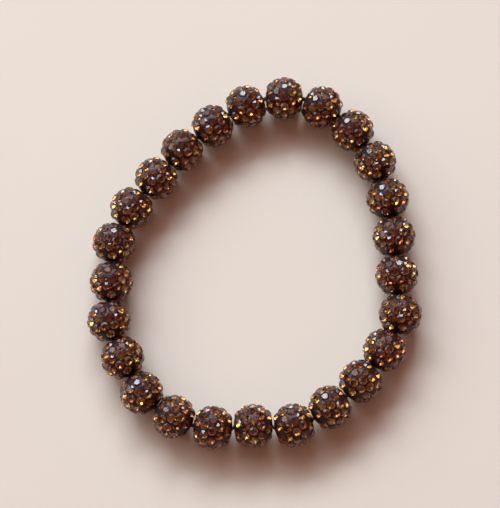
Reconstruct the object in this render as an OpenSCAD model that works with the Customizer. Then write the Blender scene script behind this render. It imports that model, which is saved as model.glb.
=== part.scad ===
// Stretch bracelet of pave beads, lying flat in a closed loop.
// Each bead is a clay ball set all over with small cut stones and drilled for an elastic thread.
// The beads lie on the plane z = 0 round the origin, numbered anticlockwise from the right.
// Sizes are in millimetres and angles in degrees.

/* [Beads] */
// Number of beads on the thread
bead_count = 25; // [24:1:27]
// Diameter of a bead over the tables of its stones
bead_d = 8; // [7.9:0.1:8.2]
// Length of a bead's clay along its hole
bead_l = 7.2; // [7:0.02:7.2]
// Space between one bead's clay and the next
bead_gap = 0.18; // [0.18:0.02:0.5]
// Diameter of the hole through a bead
hole_d = 1.6; // [1.6:0.1:1.8]

/* [Stones] */
// Diameter of a stone over its corners, where it leaves the clay
stone_d = 1.75; // [1.5:0.05:1.75]
// Diameter of a stone's flat table over its corners
table_d = 1.05; // [0.8:0.05:1.05]
// Height of the table over the stone's widest place
crown_h = 0.3; // [0.2:0.05:0.3]
// Number of sloping facets round the table
crown_facets = 8; // [8:2:12]
// How far a stone may stray from its place in the ring, in degrees
stray = 0.8; // [0:0.2:1.4]
// How far a stone may lean, in degrees
lean = 3; // [0:0.5:4]

/* [Thread] */
// Diameter of the elastic thread
thread_d = 0.8; // [0.6:0.1:0.8]
// Diameter of the knot that is drawn into the last bead
knot_d = 1; // [0.9:0.05:1]

/* [Hidden] */
// The way the loop lies: how far its line runs from the middle in each bearing
BEARING = 0;
REACH = 1;
LOOP = [
    // [bearing, reach]
    [0, 26.0],
    [24, 27.3],
    [48, 30.4],
    [72, 32.2],
    [96, 29.3],
    [120, 25.4],
    [144, 24.2],
    [168, 26.2],
    [192, 27.1],
    [216, 30.4],
    [240, 32.3],
    [264, 30.9],
    [288, 31.0],
    [312, 29.7],
    [336, 28.6]
];

// The first bead stands this far past bearing 0, in steps from bead to bead
first_step = 0.64;

// Beads that lie off the smooth line, with how far outwards
BEAD = 0;
OUTWARDS = 1;
OFF_LINE = [
    // [bead, outwards]
    [6, 0.2],
    [8, -0.3],
    [14, 0.8],
    [16, 0.6],
    [17, 0.5],
    [18, 0.8],
    [20, 0.5],
    [24, 0.35]
];

// The beads slide along the line this many times to even out their spacing
slides = 240;

// Rings of stones round a bead's hole. The first stone of a ring stands "turn" steps
// round from the side that faces the middle of the loop, so the stones at the front end
// of one bead come between those at the back end of the next.
ANGLE = 0;
COUNT = 1;
TURN = 2;
RINGS = [
    // [angle from the hole, stones in the ring, turn]
    [41, 6, 0],
    [66.5, 12, 0.5],
    [90, 12, 0],
    [113.5, 12, 0.5],
    [139, 6, 0.5]
];

// The side of a bead, turned round its hole, that faces the middle of the loop
inner_side = 90;

// Each bead is threaded a little further round than the last, so that two of the end ring's
// steps are made up once round the loop and neighbours' end rings keep between each other
first_spin = 20;
spin_step = 2 * 360 / RINGS[0][COUNT] / bead_count;

// Stones sit with their widest place level with the clay, and go a little way into it
bead_r = bead_d / 2;
seat_r = bead_r - crown_h;
clay_r = norm([seat_r, stone_d / 2]);
root_depth = 0.1;

// The ends of a bead are flatter than its sides, and the mouths of its hole are opened out
end_r = 5;
end_shift = end_r - bead_l / 2;
mouth_d = hole_d + 0.5;
mouth_depth = 0.3;

// Beads stand on the corners of their lowest tables
pitch = bead_l + bead_gap;
rest_z = norm([bead_r, table_d / 2]);

clay_colour = "#2b2326";
stone_colour = "#6b2f12";
thread_colour = "#1c1a1b";

// The thread is swept in flat rings: two at each bead, and four more round the knot
thread_sides = 8;
thread_reach = 3.4;
// Where the knot's rings stand along its bead, and how wide they are
ALONG = 0;
WIDTH = 1;
KNOT = [
    // [along, width]
    [-1.1, thread_d],
    [-0.6, knot_d],
    [0.6, knot_d],
    [1.1, thread_d]
];

function bead_name(i) = str("bead_", i < 10 ? "0" : "", i);

function unit(v) = v / norm(v);

function row(i) = LOOP[(i + len(LOOP)) % len(LOOP)];

function row_point(i) = row(i)[REACH] * [cos(row(i)[BEARING]), sin(row(i)[BEARING])];

// A point of the smooth curve from b to c, where t runs from 0 to 1
function smooth(a, b, c, d, t) =
    (2 * b + (c - a) * t + (2 * a - 5 * b + 4 * c - d) * t^2 + (3 * b - 3 * c + d - a) * t^3) / 2;

curve_steps = 24;
curve = [
    for (i = [0 : len(LOOP) - 1], s = [0 : curve_steps - 1])
        smooth(row_point(i - 1), row_point(i), row_point(i + 1), row_point(i + 2), s / curve_steps),
    row_point(0)
];

// Length of the curve up to each of its points
function run_to(i) = i == 0 ? 0 : run_to(i - 1) + norm(curve[i] - curve[i - 1]);

run = [for (i = [0 : len(curve) - 1]) run_to(i)];
full_run = run[len(run) - 1];
x_by_run = [for (i = [0 : len(run) - 1]) [run[i], curve[i].x]];
y_by_run = [for (i = [0 : len(run) - 1]) [run[i], curve[i].y]];

function at_run(s) = [lookup(s, x_by_run), lookup(s, y_by_run)];

// The smooth line gives each bead its place, and is drawn to the size that the beads fill
fill = pitch * bead_count / full_run;
on_line = [
    for (i = [0 : bead_count - 1])
        fill * at_run((first_step + i) * full_run / bead_count)
];

function off_line(i) = [for (r = OFF_LINE) if (r[BEAD] == i + 1) r[OUTWARDS]];

// A bead faces from the one before it to the one after it
function facing(list, i) =
    let (n = len(list)) unit(list[(i + 1) % n] - list[(i + n - 1) % n]);

function outwards(v) = [v.y, -v.x];

laid = [
    for (i = [0 : bead_count - 1])
        on_line[i] + (len(off_line(i)) ? off_line(i)[0] : 0) * outwards(facing(on_line, i))
];

// How far each bead is from the one after it
function steps(list) = [for (i = [0 : len(list) - 1]) norm(list[(i + 1) % len(list)] - list[i])];

// Each bead slides a quarter of what its two steps differ by, towards the longer one
function slide(list) =
    let (n = len(list), s = steps(list))
        [for (i = [0 : n - 1]) list[i] + (s[i] - s[(i + n - 1) % n]) / 4 * facing(list, i)];

function slid(list, times) = times == 0 ? list : slid(slide(list), times - 1);

even = slid(laid, slides);
even_steps = steps(even);
spaced = even * pitch * bead_count / (even_steps * [for (s = even_steps) 1]);

// The loop is centred by its box
xs = [for (p = spaced) p.x];
ys = [for (p = spaced) p.y];
middle = [min(xs) + max(xs), min(ys) + max(ys)] / 2;
places = [for (p = spaced) p - middle];

function heading(i) = let (f = facing(places, i)) atan2(f.y, f.x);

// A number between -1 and 1 that looks random and is the same each time
function scatter(seed) = let (s = sin(seed * 78.233) * 43758.5453) 2 * (s - floor(s)) - 1;

function stones_before(ring) = ring == 0 ? 0 : stones_before(ring - 1) + RINGS[ring - 1][COUNT];

stones = stones_before(len(RINGS));
draws = 5;

// Each stone has its own run of numbers for scatter()
function seed(i, ring, k) = draws * (stones * i + stones_before(ring) + k);

// Two opposite facets of the crown, with the table between them
module facet_pair() {
    across = cos(180 / crown_facets);
    slope = (stone_d - table_d) / 2 / crown_h;
    table = table_d / 2 * across;
    root = (stone_d / 2 + slope * root_depth) * across;
    rotate([90, 0, 0])
        linear_extrude(height = 2 * stone_d, center = true)
            polygon([[-root, -root_depth], [root, -root_depth], [table, crown_h], [-table, crown_h]]);
}

module stone() {
    intersection_for (k = [0 : crown_facets / 2 - 1])
        rotate([0, 0, k * 360 / crown_facets]) facet_pair();
}

module stone_rings(i) {
    for (ring = [0 : len(RINGS) - 1], k = [0 : RINGS[ring][COUNT] - 1]) {
        first = seed(i, ring, k);
        around = inner_side + (k + RINGS[ring][TURN]) * 360 / RINGS[ring][COUNT];
        rotate([0, 0, around + stray * scatter(first)])
            rotate([0, RINGS[ring][ANGLE] + stray * scatter(first + 1), 0])
                translate([0, 0, seat_r])
                    rotate([lean * scatter(first + 2), lean * scatter(first + 3), 0])
                        rotate([0, 0, 180 / crown_facets * scatter(first + 4)])
                            stone();
    }
}

// A ball with its two ends pressed flatter, drilled and countersunk
module clay_ball() {
    difference() {
        intersection() {
            sphere(r = clay_r, $fn = 96);
            translate([0, 0, end_shift]) sphere(r = end_r, $fn = 96);
            translate([0, 0, -end_shift]) sphere(r = end_r, $fn = 96);
        }
        cylinder(h = bead_d, d = hole_d, center = true, $fn = 32);
        for (side = [0, 1])
            mirror([0, 0, side])
                translate([0, 0, bead_l / 2 - mouth_depth])
                    cylinder(h = 2 * mouth_depth, d1 = hole_d, d2 = 2 * mouth_d - hole_d, $fn = 32);
    }
}

// Bead number i, counted from 1, with its hole along the thread
module bead(i) {
    place = places[i - 1];
    translate([place.x, place.y, rest_z])
        rotate([0, 90, heading(i - 1)])
            rotate([0, 0, first_spin + spin_step * i]) {
                color(clay_colour) clay_ball();
                color(stone_colour) stone_rings(i);
            }
}

// A ring of points round the thread, this far along the hole of bead i
function thread_ring(i, along, width) =
    let (f = facing(places, i), p = places[i] + along * f)
        [for (s = [0 : thread_sides - 1])
            let (a = (s + 0.5) * 360 / thread_sides, side = width / 2 * cos(a) * outwards(f))
                [p.x + side.x, p.y + side.y, rest_z + width / 2 * sin(a)]];

thread_rings = [
    for (i = [0 : bead_count - 1]) each [
        thread_ring(i, -thread_reach, thread_d),
        if (i == bead_count - 1) each [for (k = KNOT) thread_ring(i, k[ALONG], k[WIDTH])],
        thread_ring(i, thread_reach, thread_d)
    ]
];

// One closed tube through every bead
module elastic_thread() {
    rings = len(thread_rings);
    faces = [
        for (r = [0 : rings - 1], s = [0 : thread_sides - 1])
            let (n = (r + 1) % rings, t = (s + 1) % thread_sides)
                [r, n, n, r] * thread_sides + [s, s, t, t]
    ];
    color(thread_colour) polyhedron([for (r = thread_rings) each r], faces);
}

for (i = [1 : bead_count])
    bead(i);
elastic_thread();
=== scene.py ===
"""Pave stretch bracelet: dark clay beads set all over with small amber glass stones."""

import math

import bmesh
import bpy
import numpy as np
from mathutils import Euler, Matrix, Vector, noise


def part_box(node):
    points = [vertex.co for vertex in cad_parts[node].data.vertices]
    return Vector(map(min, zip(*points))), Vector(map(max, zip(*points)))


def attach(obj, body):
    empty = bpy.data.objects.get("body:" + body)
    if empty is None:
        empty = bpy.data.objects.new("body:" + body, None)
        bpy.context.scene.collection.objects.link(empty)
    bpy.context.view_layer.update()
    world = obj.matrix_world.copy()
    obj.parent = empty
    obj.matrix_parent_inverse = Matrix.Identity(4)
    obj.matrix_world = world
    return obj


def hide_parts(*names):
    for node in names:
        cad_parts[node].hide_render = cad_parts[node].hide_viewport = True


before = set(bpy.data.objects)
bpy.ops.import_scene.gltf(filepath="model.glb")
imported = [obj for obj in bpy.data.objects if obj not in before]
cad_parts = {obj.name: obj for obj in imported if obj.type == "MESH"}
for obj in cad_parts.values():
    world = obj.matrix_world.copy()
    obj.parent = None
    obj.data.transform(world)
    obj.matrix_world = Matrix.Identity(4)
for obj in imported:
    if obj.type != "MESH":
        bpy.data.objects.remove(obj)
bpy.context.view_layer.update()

MM = 0.001

# The sizes of a bead, as in the part's source, in millimetres and degrees
BEAD_R = 4.0
BEAD_LENGTH = 7.2
END_R = 5.0
HOLE_R = 0.8
MOUTH_R = 1.05
MOUTH_DEPTH = 0.3
STONE_WIDTH = 1.75
TABLE_WIDTH = 1.05
CROWN = 0.3
FACETS = 8
SEAT_R = BEAD_R - CROWN
STRAY = 0.8
LEAN = 3.0
INNER_SIDE = 90
REST_HEIGHT = math.hypot(BEAD_R, TABLE_WIDTH / 2)

# Rings of stones round the hole: angle from the hole, how many, and the turn of the first
RINGS = (
    (41.0, 6, 0.0),
    (66.5, 12, 0.5),
    (90.0, 12, 0.0),
    (113.5, 12, 0.5),
    (139.0, 6, 0.5),
)
STONES = sum(count for angle, count, turn in RINGS)
FIRST_SPIN = 20
SPIN_TURNS = 2
DRAWS = 5

# What the source leaves out of a stone: its girdle, its foiled back, and how stones differ
GIRDLE = 0.06
PAVILION = 0.72
SIZE_SPREAD = 0.015
SIZE_DRAW = 7
GOLD_RARITY = 3.0
SAME_POINT = 0.001

# How the clay holds the stones: it lies lower between them and rises in a lip round each.
# Towards the hole, past FADE_END of the way from the middle to the end, it keeps its own height.
SEAT_GROWTH = 1.012
BUMP_DEPTH = 0.03
CLAY_R = math.hypot(SEAT_R, STONE_WIDTH / 2)
CLAY_DETAIL = 6
CLAY_DROP = 0.05
LIP_HEIGHT = 0.035
LIP_REACH = 0.2
FADE_END = 0.86
FADE_LENGTH = 0.1
LUMP = 0.02
LUMP_SIZE = 0.9
BORE_SIDES = 32
SHARP_EDGE = math.radians(35)

# The camera of the photograph: tilted a little from straight down, looking away from the viewer
CAMERA_TILT = 12
CAMERA_DISTANCE = 330
CAMERA_TARGET = (-0.87, 1.12, 4.0)
PIXELS_PER_MM = 5.37
IMAGE_LONG_SIDE = 508
SENSOR = 36

# The soft lamps, which all face the bracelet. A bearing is from the far side, turning left.
LAMPS = (
    # name, bearing, height in degrees, distance and size in metres, watts, colour
    ("window", 14, 37, 1.6, (1.44, 0.47), 28, (0.74, 0.88, 1.0)),
    ("side_window", 62, 28, 1.6, (1.06, 0.53), 5.7, (0.73, 0.87, 1.0)),
    ("warm_side", 88, 30, 0.5, (0.17, 0.17), 0.08, (1.0, 0.88, 0.34)),
)

# The room that the stones mirror: brown patches, and a pale glow round the windows
ROOM_LOW = (0.262, 0.122, 0.092)
ROOM_HIGH = (0.275, 0.134, 0.102)
PATCHES = 4.0
PATCH_EDGES = (0.44, 0.58)
PATCH_STRENGTH = 2.3
GLOW_BEARING = 22
GLOW_HEIGHT = 38
GLOW_EDGES = (0.8, 0.97)
GLOW_COLOUR = (0.76, 0.88, 1.0)
GLOW_STRENGTH = 1.4

# How far the floor reaches each way, in metres
FLOOR_REACH = 1.2

# The sockets of Blender's colour mix node
MIX_FACTOR, MIX_FIRST, MIX_SECOND, MIX_RESULT = 0, 6, 7, 2


def scatter(seed):
    """A number between -1 and 1 that looks random, the same as in the part's source."""
    s = math.sin(math.radians(seed * 78.233)) * 43758.5453
    return 2 * (s - math.floor(s)) - 1


def turned(axis, degrees):
    """A turn about an axis of the bead's own frame."""
    return Matrix.Rotation(math.radians(degrees), 4, axis)


def bead_names():
    """The CAD beads in the order of the thread."""
    return sorted(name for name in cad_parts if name.startswith("bead_"))


def bead_places():
    """Each bead's turn and place, worked out from the boxes of the CAD beads."""
    names = bead_names()
    middles = {}
    for name in names:
        low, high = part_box(name)
        middle = (low + high) / 2
        middles[name] = Vector((middle.x, middle.y, REST_HEIGHT * MM))
    places = {}
    for i, name in enumerate(names):
        ahead = middles[names[(i + 1) % len(names)]] - middles[names[i - 1]]
        spin = FIRST_SPIN + SPIN_TURNS * 360 / RINGS[0][1] * (i + 1) / len(names)
        places[name] = (
            Matrix.Translation(middles[name])
            @ turned("Z", math.degrees(math.atan2(ahead.y, ahead.x)))
            @ turned("Y", 90)
            @ turned("Z", spin)
        )
    return places


def stone_places(number):
    """Where the stones of a bead sit, in the bead's own frame, in millimetres."""
    places = []
    seed = DRAWS * STONES * number
    for angle, count, turn in RINGS:
        for k in range(count):
            around = INNER_SIDE + (k + turn) * 360 / count
            places.append(
                turned("Z", around + STRAY * scatter(seed))
                @ turned("Y", angle + STRAY * scatter(seed + 1))
                @ Matrix.Translation((0, 0, SEAT_R))
                @ turned("Y", LEAN * scatter(seed + 3))
                @ turned("X", LEAN * scatter(seed + 2))
                @ turned("Z", 180 / FACETS * scatter(seed + 4))
            )
            seed += DRAWS
    return places


# Small helpers for node trees


def add(tree, kind, feeds=(), **settings):
    """Adds a node. feeds gives its inputs by name or number: a plain value, or a socket to link."""
    node = tree.nodes.new(kind)
    for key, value in settings.items():
        setattr(node, key, value)
    for key, value in dict(feeds).items():
        socket = node.inputs[key]
        if isinstance(value, bpy.types.NodeSocket):
            tree.links.new(value, socket)
        else:
            socket.default_value = value
    return node


def math_of(tree, operation, a, b=0.0):
    """The result of one sum in a node tree."""
    return add(tree, "ShaderNodeMath", {0: a, 1: b}, operation=operation).outputs[0]


def new_tree(name, kind, inputs, outputs):
    """A node tree with named inputs and outputs, each given as (name, socket type, default)."""
    tree = bpy.data.node_groups.new(name, kind)
    for label, socket, default in inputs:
        made = tree.interface.new_socket(label, in_out="INPUT", socket_type=socket)
        if default is not None:
            made.default_value = default
    for label, socket in outputs:
        tree.interface.new_socket(label, in_out="OUTPUT", socket_type=socket)
    given = tree.nodes.new("NodeGroupInput")
    result = tree.nodes.new("NodeGroupOutput")
    return tree, given.outputs, result.inputs


def set_inputs(modifier, values):
    """Sets a Geometry Nodes modifier's inputs by each socket's identifier."""
    for item in modifier.node_group.interface.items_tree:
        if item.item_type == "SOCKET" and item.in_out == "INPUT" and item.name in values:
            modifier[item.identifier] = values[item.name]


def joined(tree, first, second):
    """Two geometries as one."""
    join = add(tree, "GeometryNodeJoinGeometry")
    tree.links.new(first, join.inputs[0])
    tree.links.new(second, join.inputs[0])
    return join.outputs[0]


def lowered(tree, geometry, depth):
    """The geometry, moved down by a depth."""
    down = add(tree, "ShaderNodeCombineXYZ", {"Z": math_of(tree, "MULTIPLY", depth, -1.0)})
    moved = add(tree, "GeometryNodeTransform", {"Geometry": geometry, "Translation": down.outputs[0]})
    return moved.outputs[0]


def finished(tree, geometry, material):
    """The geometry, with a material on all its faces."""
    made = add(tree, "GeometryNodeSetMaterial", {"Geometry": geometry, "Material": material})
    return made.outputs["Geometry"]


def cut_out(tree, solid, tool):
    """What is left of a solid where a tool is taken out of it."""
    cut = add(
        tree,
        "GeometryNodeMeshBoolean",
        {"Mesh 1": solid},
        operation="DIFFERENCE",
        solver="MANIFOLD",
    )
    tree.links.new(tool, cut.inputs["Mesh 2"])
    return cut.outputs["Mesh"]


# The shapes


def cut_stone_tree():
    """One stone with its widest place on z = 0: table, crown facets, girdle and pavilion."""
    number, length, material = "NodeSocketInt", "NodeSocketFloat", "NodeSocketMaterial"
    tree, given, result = new_tree(
        "cut_stone",
        "GeometryNodeTree",
        [
            ("Facets", number, FACETS),
            ("Width", length, STONE_WIDTH * MM),
            ("Table", length, TABLE_WIDTH * MM),
            ("Crown", length, CROWN * MM),
            ("Girdle", length, GIRDLE * MM),
            ("Pavilion", length, PAVILION * MM),
            ("Front", material, None),
            ("Back", material, None),
        ],
        [("Stone", "NodeSocketGeometry")],
    )
    half = math_of(tree, "MULTIPLY", given["Width"], 0.5)
    crown = add(
        tree,
        "GeometryNodeMeshCone",
        {
            "Vertices": given["Facets"],
            "Radius Top": math_of(tree, "MULTIPLY", given["Table"], 0.5),
            "Radius Bottom": half,
            "Depth": given["Crown"],
        },
    )
    open_crown = add(
        tree,
        "GeometryNodeDeleteGeometry",
        {"Geometry": crown.outputs["Mesh"], "Selection": crown.outputs["Bottom"]},
        domain="FACE",
    )
    girdle = add(
        tree,
        "GeometryNodeMeshCone",
        {
            "Vertices": given["Facets"],
            "Radius Top": half,
            "Radius Bottom": half,
            "Depth": given["Girdle"],
        },
        fill_type="NONE",
    )
    low_girdle = lowered(tree, girdle.outputs["Mesh"], given["Girdle"])
    pavilion = add(
        tree,
        "GeometryNodeMeshCone",
        {"Vertices": given["Facets"], "Radius Top": half, "Radius Bottom": 0.0, "Depth": given["Pavilion"]},
        fill_type="NONE",
    )
    depth = math_of(tree, "ADD", given["Girdle"], given["Pavilion"])
    low_pavilion = lowered(tree, pavilion.outputs["Mesh"], depth)
    front = joined(tree, open_crown.outputs["Geometry"], low_girdle)
    clear = finished(tree, front, given["Front"])
    foiled = finished(tree, low_pavilion, given["Back"])
    closed = add(
        tree,
        "GeometryNodeMergeByDistance",
        {"Geometry": joined(tree, clear, foiled), "Distance": SAME_POINT * MM},
    )
    tree.links.new(closed.outputs["Geometry"], result["Stone"])
    return tree


def place_stones(tree, points, stone, growth=1.0):
    """Puts a stone on each point, turned and sized as the point's attributes say."""
    turn = add(tree, "GeometryNodeInputNamedAttribute", {"Name": "turn"}, data_type="FLOAT_VECTOR")
    size = add(tree, "GeometryNodeInputNamedAttribute", {"Name": "size"}, data_type="FLOAT")
    rotation = add(tree, "FunctionNodeEulerToRotation", {"Euler": turn.outputs["Attribute"]})
    placed = add(
        tree,
        "GeometryNodeInstanceOnPoints",
        {
            "Points": points,
            "Instance": stone,
            "Rotation": rotation.outputs[0],
            "Scale": math_of(tree, "MULTIPLY", size.outputs["Attribute"], growth),
        },
    )
    return placed.outputs["Instances"]


def stones_tree(stone_tree):
    """The stones of one bead, each with its own tone of glass."""
    tree, given, result = new_tree(
        "stones_of_a_bead",
        "GeometryNodeTree",
        [
            ("Places", "NodeSocketGeometry", None),
            ("Width", "NodeSocketFloat", STONE_WIDTH * MM),
            ("Table", "NodeSocketFloat", TABLE_WIDTH * MM),
            ("Crown", "NodeSocketFloat", CROWN * MM),
            ("Seed", "NodeSocketInt", 1),
            ("Glass", "NodeSocketMaterial", None),
            ("Foil", "NodeSocketMaterial", None),
        ],
        [("Stones", "NodeSocketGeometry")],
    )
    stone = add(tree, "GeometryNodeGroup", {}, node_tree=stone_tree)
    for label in ("Width", "Table", "Crown"):
        tree.links.new(given[label], stone.inputs[label])
    tree.links.new(given["Glass"], stone.inputs["Front"])
    tree.links.new(given["Foil"], stone.inputs["Back"])
    placed = place_stones(tree, given["Places"], stone.outputs[0])
    tone = add(tree, "FunctionNodeRandomValue", {"Seed": given["Seed"]}, data_type="FLOAT")
    toned = add(
        tree,
        "GeometryNodeStoreNamedAttribute",
        {"Geometry": placed, "Name": "tone", "Value": tone.outputs["Value"]},
        data_type="FLOAT",
        domain="INSTANCE",
    )
    real = add(tree, "GeometryNodeRealizeInstances", {"Geometry": toned.outputs["Geometry"]})
    tree.links.new(real.outputs["Geometry"], result["Stones"])
    return tree


def seats_tree(stone_tree):
    """Cuts a seat for each stone, and the hole for the thread, out of a ball of clay."""
    tree, given, result = new_tree(
        "seats_in_the_clay",
        "GeometryNodeTree",
        [
            ("Clay", "NodeSocketGeometry", None),
            ("Places", "NodeSocketObject", None),
            ("Bore", "NodeSocketObject", None),
            ("Growth", "NodeSocketFloat", SEAT_GROWTH),
            ("Width", "NodeSocketFloat", STONE_WIDTH * MM),
            ("Table", "NodeSocketFloat", TABLE_WIDTH * MM),
            ("Crown", "NodeSocketFloat", CROWN * MM),
            ("Clay finish", "NodeSocketMaterial", None),
        ],
        [("Bead", "NodeSocketGeometry")],
    )
    stone = add(tree, "GeometryNodeGroup", {}, node_tree=stone_tree)
    for label in ("Width", "Table", "Crown"):
        tree.links.new(given[label], stone.inputs[label])
    points = add(tree, "GeometryNodeObjectInfo", {"Object": given["Places"]})
    bore = add(tree, "GeometryNodeObjectInfo", {"Object": given["Bore"]})
    placed = place_stones(tree, points.outputs["Geometry"], stone.outputs[0], given["Growth"])
    real = add(tree, "GeometryNodeRealizeInstances", {"Geometry": placed})
    seated = cut_out(tree, given["Clay"], real.outputs["Geometry"])
    drilled = cut_out(tree, seated, bore.outputs["Geometry"])
    tree.links.new(finished(tree, drilled, given["Clay finish"]), result["Bead"])
    return tree


def plain_mesh(source, name, modifier):
    """Turns an object's modifier result into a plain mesh of its own, and removes the source."""
    evaluated = source.evaluated_get(bpy.context.evaluated_depsgraph_get())
    mesh = bpy.data.meshes.new_from_object(evaluated)
    mesh.name = name
    source.modifiers.remove(modifier)
    bpy.data.objects.remove(source)
    return linked(name, mesh)


def linked(name, mesh):
    """A new object of the scene, with this mesh."""
    made = bpy.data.objects.new(name, mesh)
    bpy.context.scene.collection.objects.link(made)
    return made


def points_object(name, place, stones, number):
    """One vertex for each stone, with its turn and its size as attributes."""
    mesh = bpy.data.meshes.new(name)
    spots = []
    for stone in stones:
        spot = stone.copy()
        spot.translation = stone.translation * MM
        spots.append(place @ spot)
    mesh.from_pydata([spot.translation for spot in spots], [], [])
    turn = mesh.attributes.new("turn", "FLOAT_VECTOR", "POINT")
    turn.data.foreach_set("vector", [angle for spot in spots for angle in spot.to_euler()])
    first = SIZE_DRAW * STONES * number
    size = mesh.attributes.new("size", "FLOAT", "POINT")
    size.data.foreach_set("value", [1 + SIZE_SPREAD * scatter(first + k) for k in range(len(spots))])
    return linked(name, mesh)


def bore_object(name, place):
    """The hole and its two opened mouths, as one closed turned solid."""
    half = BEAD_LENGTH / 2
    flare = MOUTH_R - HOLE_R
    profile = [
        (half + MOUTH_DEPTH, MOUTH_R + flare),
        (half - MOUTH_DEPTH, HOLE_R),
        (-half + MOUTH_DEPTH, HOLE_R),
        (-half - MOUTH_DEPTH, MOUTH_R + flare),
    ]
    mesh = bpy.data.meshes.new(name)
    vertices = []
    for z, radius in profile:
        for k in range(BORE_SIDES):
            a = 2 * math.pi * k / BORE_SIDES
            vertices.append(place @ (Vector((radius * math.cos(a), radius * math.sin(a), z)) * MM))
    last = len(profile) - 1
    last_ring = range(last * BORE_SIDES, (last + 1) * BORE_SIDES)
    faces = [tuple(range(BORE_SIDES)), tuple(reversed(last_ring))]
    for ring in range(last):
        for k in range(BORE_SIDES):
            n = (k + 1) % BORE_SIDES
            top, low = ring * BORE_SIDES, (ring + 1) * BORE_SIDES
            faces.append((top + k, low + k, low + n, top + n))
    mesh.from_pydata(vertices, [], faces)
    return linked(name, mesh)


def ball_radius(directions):
    """How far the clay reaches in each direction: a ball with two flatter ends."""
    along = np.abs(directions[:, 2])
    shift = END_R - BEAD_LENGTH / 2
    ends = -shift * along + np.sqrt(END_R**2 - shift**2 * (1 - along**2))
    return np.minimum(CLAY_R, ends)


def clay_object(name, place, stones):
    """A ball of clay, a little lumpy, that rises where it was pressed up round each stone."""
    shape = bmesh.new()
    bmesh.ops.create_icosphere(shape, subdivisions=CLAY_DETAIL, radius=1.0)
    mesh = bpy.data.meshes.new(name)
    shape.to_mesh(mesh)
    shape.free()
    directions = np.array([v.co for v in mesh.vertices])
    directions /= np.linalg.norm(directions, axis=1)[:, None]
    radius = ball_radius(directions)
    seats = np.array([stone.translation.normalized() for stone in stones])
    nearest = np.arccos(np.clip(directions @ seats.T, -1, 1)).min(axis=1) * CLAY_R
    lip = LIP_HEIGHT * np.exp(-(((nearest - STONE_WIDTH / 2) / LIP_REACH) ** 2))
    rise = (lip - CLAY_DROP) * np.clip((FADE_END - np.abs(directions[:, 2])) / FADE_LENGTH, 0, 1)
    points = directions * radius[:, None]
    offset = place.translation / MM
    lumps = np.array([noise.noise((Vector(p) + offset) / LUMP_SIZE) for p in points]) * LUMP
    points = directions * (radius + rise + lumps)[:, None] * MM
    matrix = np.array(place)
    points = points @ matrix[:3, :3].T + matrix[:3, 3]
    mesh.vertices.foreach_set("co", points.astype(np.float32).ravel())
    mesh.update()
    return linked(name, mesh)


def make_beads(materials):
    """Every bead: its clay and its stones, in place of the CAD bead."""
    stone_tree = cut_stone_tree()
    stones_of_bead = stones_tree(stone_tree)
    seats_in_clay = seats_tree(stone_tree)
    for number, (name, place) in enumerate(bead_places().items(), start=1):
        stones = stone_places(number)
        points = points_object(name + "_points", place, stones, number)
        bore = bore_object(name + "_bore", place)
        clay = clay_object(name + "_ball", place, stones)
        cut = clay.modifiers.new("seats", "NODES")
        cut.node_group = seats_in_clay
        set_inputs(cut, {"Places": points, "Bore": bore, "Clay finish": materials["clay"]})
        clay = plain_mesh(clay, name + "_clay", cut)
        clay.data.shade_smooth()
        clay.data.set_sharp_from_angle(angle=SHARP_EDGE)
        gems = linked(name + "_gems", points.data.copy())
        setting = gems.modifiers.new("stones", "NODES")
        setting.node_group = stones_of_bead
        set_inputs(setting, {"Seed": number, "Glass": materials["glass"], "Foil": materials["foil"]})
        gems = plain_mesh(gems, name + "_stones", setting)
        for piece, slot in ((clay, "clay"), (gems, "cut_stones")):
            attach(piece, "root")
            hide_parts(name)
        bpy.data.objects.remove(points)
        bpy.data.objects.remove(bore)


# The materials


def new_material(name):
    """A new material, with its node tree and its shader."""
    material = bpy.data.materials.new(name)
    material.use_nodes = True
    tree = material.node_tree
    shader = tree.nodes["Principled BSDF"]
    return material, tree, shader


def grain_group():
    """Fine unevenness in an object's own coordinates: a mask and a height, both from 0 to 1."""
    tree, given, result = new_tree(
        "fine_unevenness",
        "ShaderNodeTree",
        [
            ("Size", "NodeSocketFloat", 0.3 * MM),
            ("Detail", "NodeSocketFloat", 3.0),
            ("Contrast", "NodeSocketFloat", 1.0),
        ],
        [("Mask", "NodeSocketFloat"), ("Height", "NodeSocketFloat")],
    )
    where = add(tree, "ShaderNodeTexCoord")
    scale = math_of(tree, "DIVIDE", 1.0, given["Size"])
    cloud = add(
        tree,
        "ShaderNodeTexNoise",
        {"Vector": where.outputs["Object"], "Scale": scale, "Detail": given["Detail"], "Roughness": 0.6},
    )
    centred = math_of(tree, "SUBTRACT", cloud.outputs[0], 0.5)
    spread = math_of(tree, "MULTIPLY", centred, given["Contrast"])
    mask = add(tree, "ShaderNodeClamp", {"Value": math_of(tree, "ADD", spread, 0.5)})
    tree.links.new(mask.outputs[0], result["Mask"])
    tree.links.new(cloud.outputs[0], result["Height"])
    return tree


def uneven(tree, group, size, detail=3.0, contrast=2.0):
    """The fine unevenness in a material, with its size in millimetres."""
    settings = {"Size": size * MM, "Detail": detail, "Contrast": contrast}
    return add(tree, "ShaderNodeGroup", settings, node_tree=group)


def bumps(tree, height, strength):
    """The normals of a surface that is uneven by a height mask."""
    settings = {"Height": height, "Strength": strength, "Distance": BUMP_DEPTH * MM}
    return add(tree, "ShaderNodeBump", settings).outputs[0]


def between(tree, mask, low, high):
    """Values from low to high as a mask goes from 0 to 1."""
    return add(tree, "ShaderNodeMapRange", {"Value": mask, "To Min": low, "To Max": high}).outputs[0]


def colours(tree, mask, first, second):
    """Colours from the first to the second as a mask goes from 0 to 1."""
    ends = {MIX_FACTOR: mask, MIX_FIRST: (*first, 1), MIX_SECOND: (*second, 1)}
    return add(tree, "ShaderNodeMix", ends, data_type="RGBA").outputs[MIX_RESULT]


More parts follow.
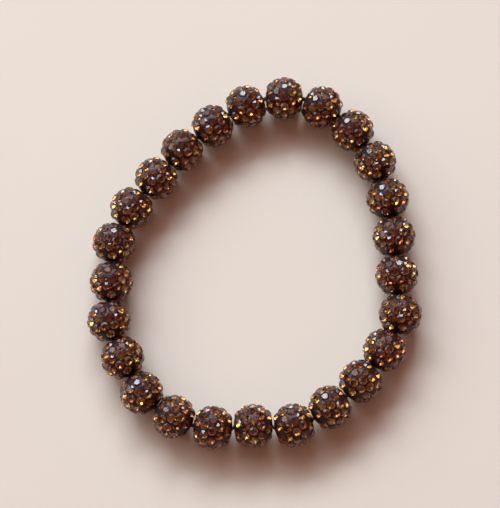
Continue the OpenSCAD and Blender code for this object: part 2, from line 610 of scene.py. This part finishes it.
def clay_material(group):
    """Dark brown clay with a soft bluish sheen."""
    material, tree, shader = new_material("dark_clay")
    broad = uneven(tree, group, 1.6)
    fine = uneven(tree, group, 0.12, detail=4.0)
    colour = colours(tree, broad.outputs["Mask"], (0.019, 0.0092, 0.0082), (0.034, 0.0163, 0.014))
    tree.links.new(colour, shader.inputs["Base Color"])
    tree.links.new(between(tree, fine.outputs["Mask"], 0.26, 0.4), shader.inputs["Roughness"])
    tree.links.new(bumps(tree, fine.outputs["Height"], 0.5), shader.inputs["Normal"])
    shader.inputs["Specular IOR Level"].default_value = 0.3
    shader.inputs["Specular Tint"].default_value = (0.68, 0.82, 1.0, 1)
    return material


def glass_material(group):
    """Brown glass, golden in a few stones, under a thin film that dulls it here and there."""
    material, tree, shader = new_material("amber_glass")
    tone = add(tree, "ShaderNodeAttribute", attribute_name="tone")
    gold = math_of(tree, "POWER", tone.outputs["Fac"], GOLD_RARITY)
    colour = colours(tree, gold, (0.5, 0.174, 0.068), (0.76, 0.47, 0.13))
    film = uneven(tree, group, 0.7)
    tree.links.new(colour, shader.inputs["Base Color"])
    tree.links.new(between(tree, film.outputs["Mask"], 0.03, 0.1), shader.inputs["Roughness"])
    shader.inputs["IOR"].default_value = 1.5
    shader.inputs["Specular Tint"].default_value = (0.8, 0.88, 1.0, 1)
    shader.inputs["Coat Weight"].default_value = 0.45
    shader.inputs["Coat Roughness"].default_value = 0.3
    shader.inputs["Transmission Weight"].default_value = 1.0
    return material


def foil_material(group):
    """The pale gold foil on the backs of the stones."""
    material, tree, shader = new_material("foil_back")
    tone = add(tree, "ShaderNodeAttribute", attribute_name="tone")
    colour = colours(tree, tone.outputs["Fac"], (0.65, 0.52, 0.32), (0.74, 0.64, 0.38))
    fine = uneven(tree, group, 0.2)
    tree.links.new(colour, shader.inputs["Base Color"])
    tree.links.new(between(tree, fine.outputs["Mask"], 0.06, 0.15), shader.inputs["Roughness"])
    shader.inputs["Metallic"].default_value = 1.0
    return material


def thread_material(group):
    """Black elastic, a little fuzzy."""
    material, tree, shader = new_material("dark_elastic")
    fine = uneven(tree, group, 0.15)
    colour = colours(tree, fine.outputs["Mask"], (0.012, 0.011, 0.012), (0.03, 0.027, 0.028))
    tree.links.new(colour, shader.inputs["Base Color"])
    tree.links.new(bumps(tree, fine.outputs["Height"], 0.4), shader.inputs["Normal"])
    shader.inputs["Roughness"].default_value = 0.55
    return material


def floor_material(group):
    """A plain pale surface, a little lighter and darker in broad patches."""
    material, tree, shader = new_material("pale_floor")
    broad = uneven(tree, group, 40, contrast=1.0)
    colour = colours(tree, broad.outputs["Mask"], (0.865, 0.765, 0.645), (0.895, 0.793, 0.67))
    tree.links.new(colour, shader.inputs["Base Color"])
    shader.inputs["Roughness"].default_value = 0.9
    return material


# The stage


def scaled(tree, colour, strength):
    """A colour made brighter or dimmer."""
    return add(tree, "ShaderNodeVectorMath", {0: colour, "Scale": strength}, operation="SCALE").outputs[0]


def floor(material):
    """A plain square floor under the bracelet."""
    reach = FLOOR_REACH
    corners = [(-reach, -reach, 0), (reach, -reach, 0), (reach, reach, 0), (-reach, reach, 0)]
    mesh = bpy.data.meshes.new("floor")
    mesh.from_pydata(corners, [], [(0, 1, 2, 3)])
    mesh.materials.append(material)
    linked("floor", mesh)


def aimed(location, target):
    """Turns something that looks down its own -Z to look from location at target."""
    return (Vector(target) - Vector(location)).to_track_quat("-Z", "Y").to_euler()


def camera():
    """The camera of the photograph."""
    tilt = math.radians(CAMERA_TILT)
    target = Vector(CAMERA_TARGET) * MM
    data = bpy.data.cameras.new("camera")
    data.sensor_width = SENSOR
    data.lens = PIXELS_PER_MM * CAMERA_DISTANCE * SENSOR / IMAGE_LONG_SIDE
    data.clip_start = 0.01
    data.clip_end = 10
    eye = bpy.data.objects.new("camera", data)
    eye.location = target + Vector((0, -math.sin(tilt), math.cos(tilt))) * CAMERA_DISTANCE * MM
    eye.rotation_euler = Euler((tilt, 0, 0))
    bpy.context.scene.collection.objects.link(eye)
    bpy.context.scene.camera = eye


def towards(bearing, height):
    """The direction at a bearing from the far side, turning left, and a height above the floor."""
    a, e = math.radians(bearing), math.radians(height)
    return Vector((-math.sin(a) * math.cos(e), math.cos(a) * math.cos(e), math.sin(e)))


def soft_light(name, bearing, height, distance, size, power, colour):
    """A rectangular lamp that faces the bracelet."""
    data = bpy.data.lights.new(name, "AREA")
    data.shape = "RECTANGLE"
    data.size, data.size_y = size
    data.energy = power
    data.color = colour
    lamp = bpy.data.objects.new(name, data)
    lamp.location = towards(bearing, height) * distance
    lamp.rotation_euler = aimed(lamp.location, (0, 0, 0))
    bpy.context.scene.collection.objects.link(lamp)


def room():
    """The light that comes from all round the bracelet."""
    world = bpy.data.worlds.new("room")
    world.use_nodes = True
    tree = world.node_tree
    where = add(tree, "ShaderNodeTexCoord").outputs["Generated"]
    upwards = add(tree, "ShaderNodeSeparateXYZ", {0: where}).outputs["Z"]
    brown = colours(tree, upwards, ROOM_LOW, ROOM_HIGH)
    things = add(tree, "ShaderNodeTexNoise", {"Vector": where, "Scale": PATCHES, "Detail": 1.0})
    patches = add(
        tree,
        "ShaderNodeMapRange",
        {
            "Value": things.outputs[0],
            "From Min": PATCH_EDGES[0],
            "From Max": PATCH_EDGES[1],
            "To Max": PATCH_STRENGTH,
        },
    )
    nearness = add(
        tree,
        "ShaderNodeVectorMath",
        {0: where, 1: towards(GLOW_BEARING, GLOW_HEIGHT)},
        operation="DOT_PRODUCT",
    )
    glow = add(
        tree,
        "ShaderNodeMapRange",
        {
            "Value": nearness.outputs["Value"],
            "From Min": GLOW_EDGES[0],
            "From Max": GLOW_EDGES[1],
            "To Max": GLOW_STRENGTH,
        },
        interpolation_type="SMOOTHSTEP",
    )
    both = add(
        tree,
        "ShaderNodeVectorMath",
        {0: scaled(tree, brown, patches.outputs[0]), 1: scaled(tree, GLOW_COLOUR, glow.outputs[0])},
        operation="ADD",
    )
    tree.links.new(both.outputs[0], tree.nodes["Background"].inputs["Color"])
    bpy.context.scene.world = world
    bpy.context.scene.view_settings.view_transform = "Standard"


camera()
for lamp in LAMPS:
    soft_light(*lamp)
room()
grain = grain_group()
floor(floor_material(grain))
make_beads({"clay": clay_material(grain), "glass": glass_material(grain), "foil": foil_material(grain)})
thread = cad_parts["elastic_thread"]
thread.data.materials.clear()
thread.data.materials.append(thread_material(grain))
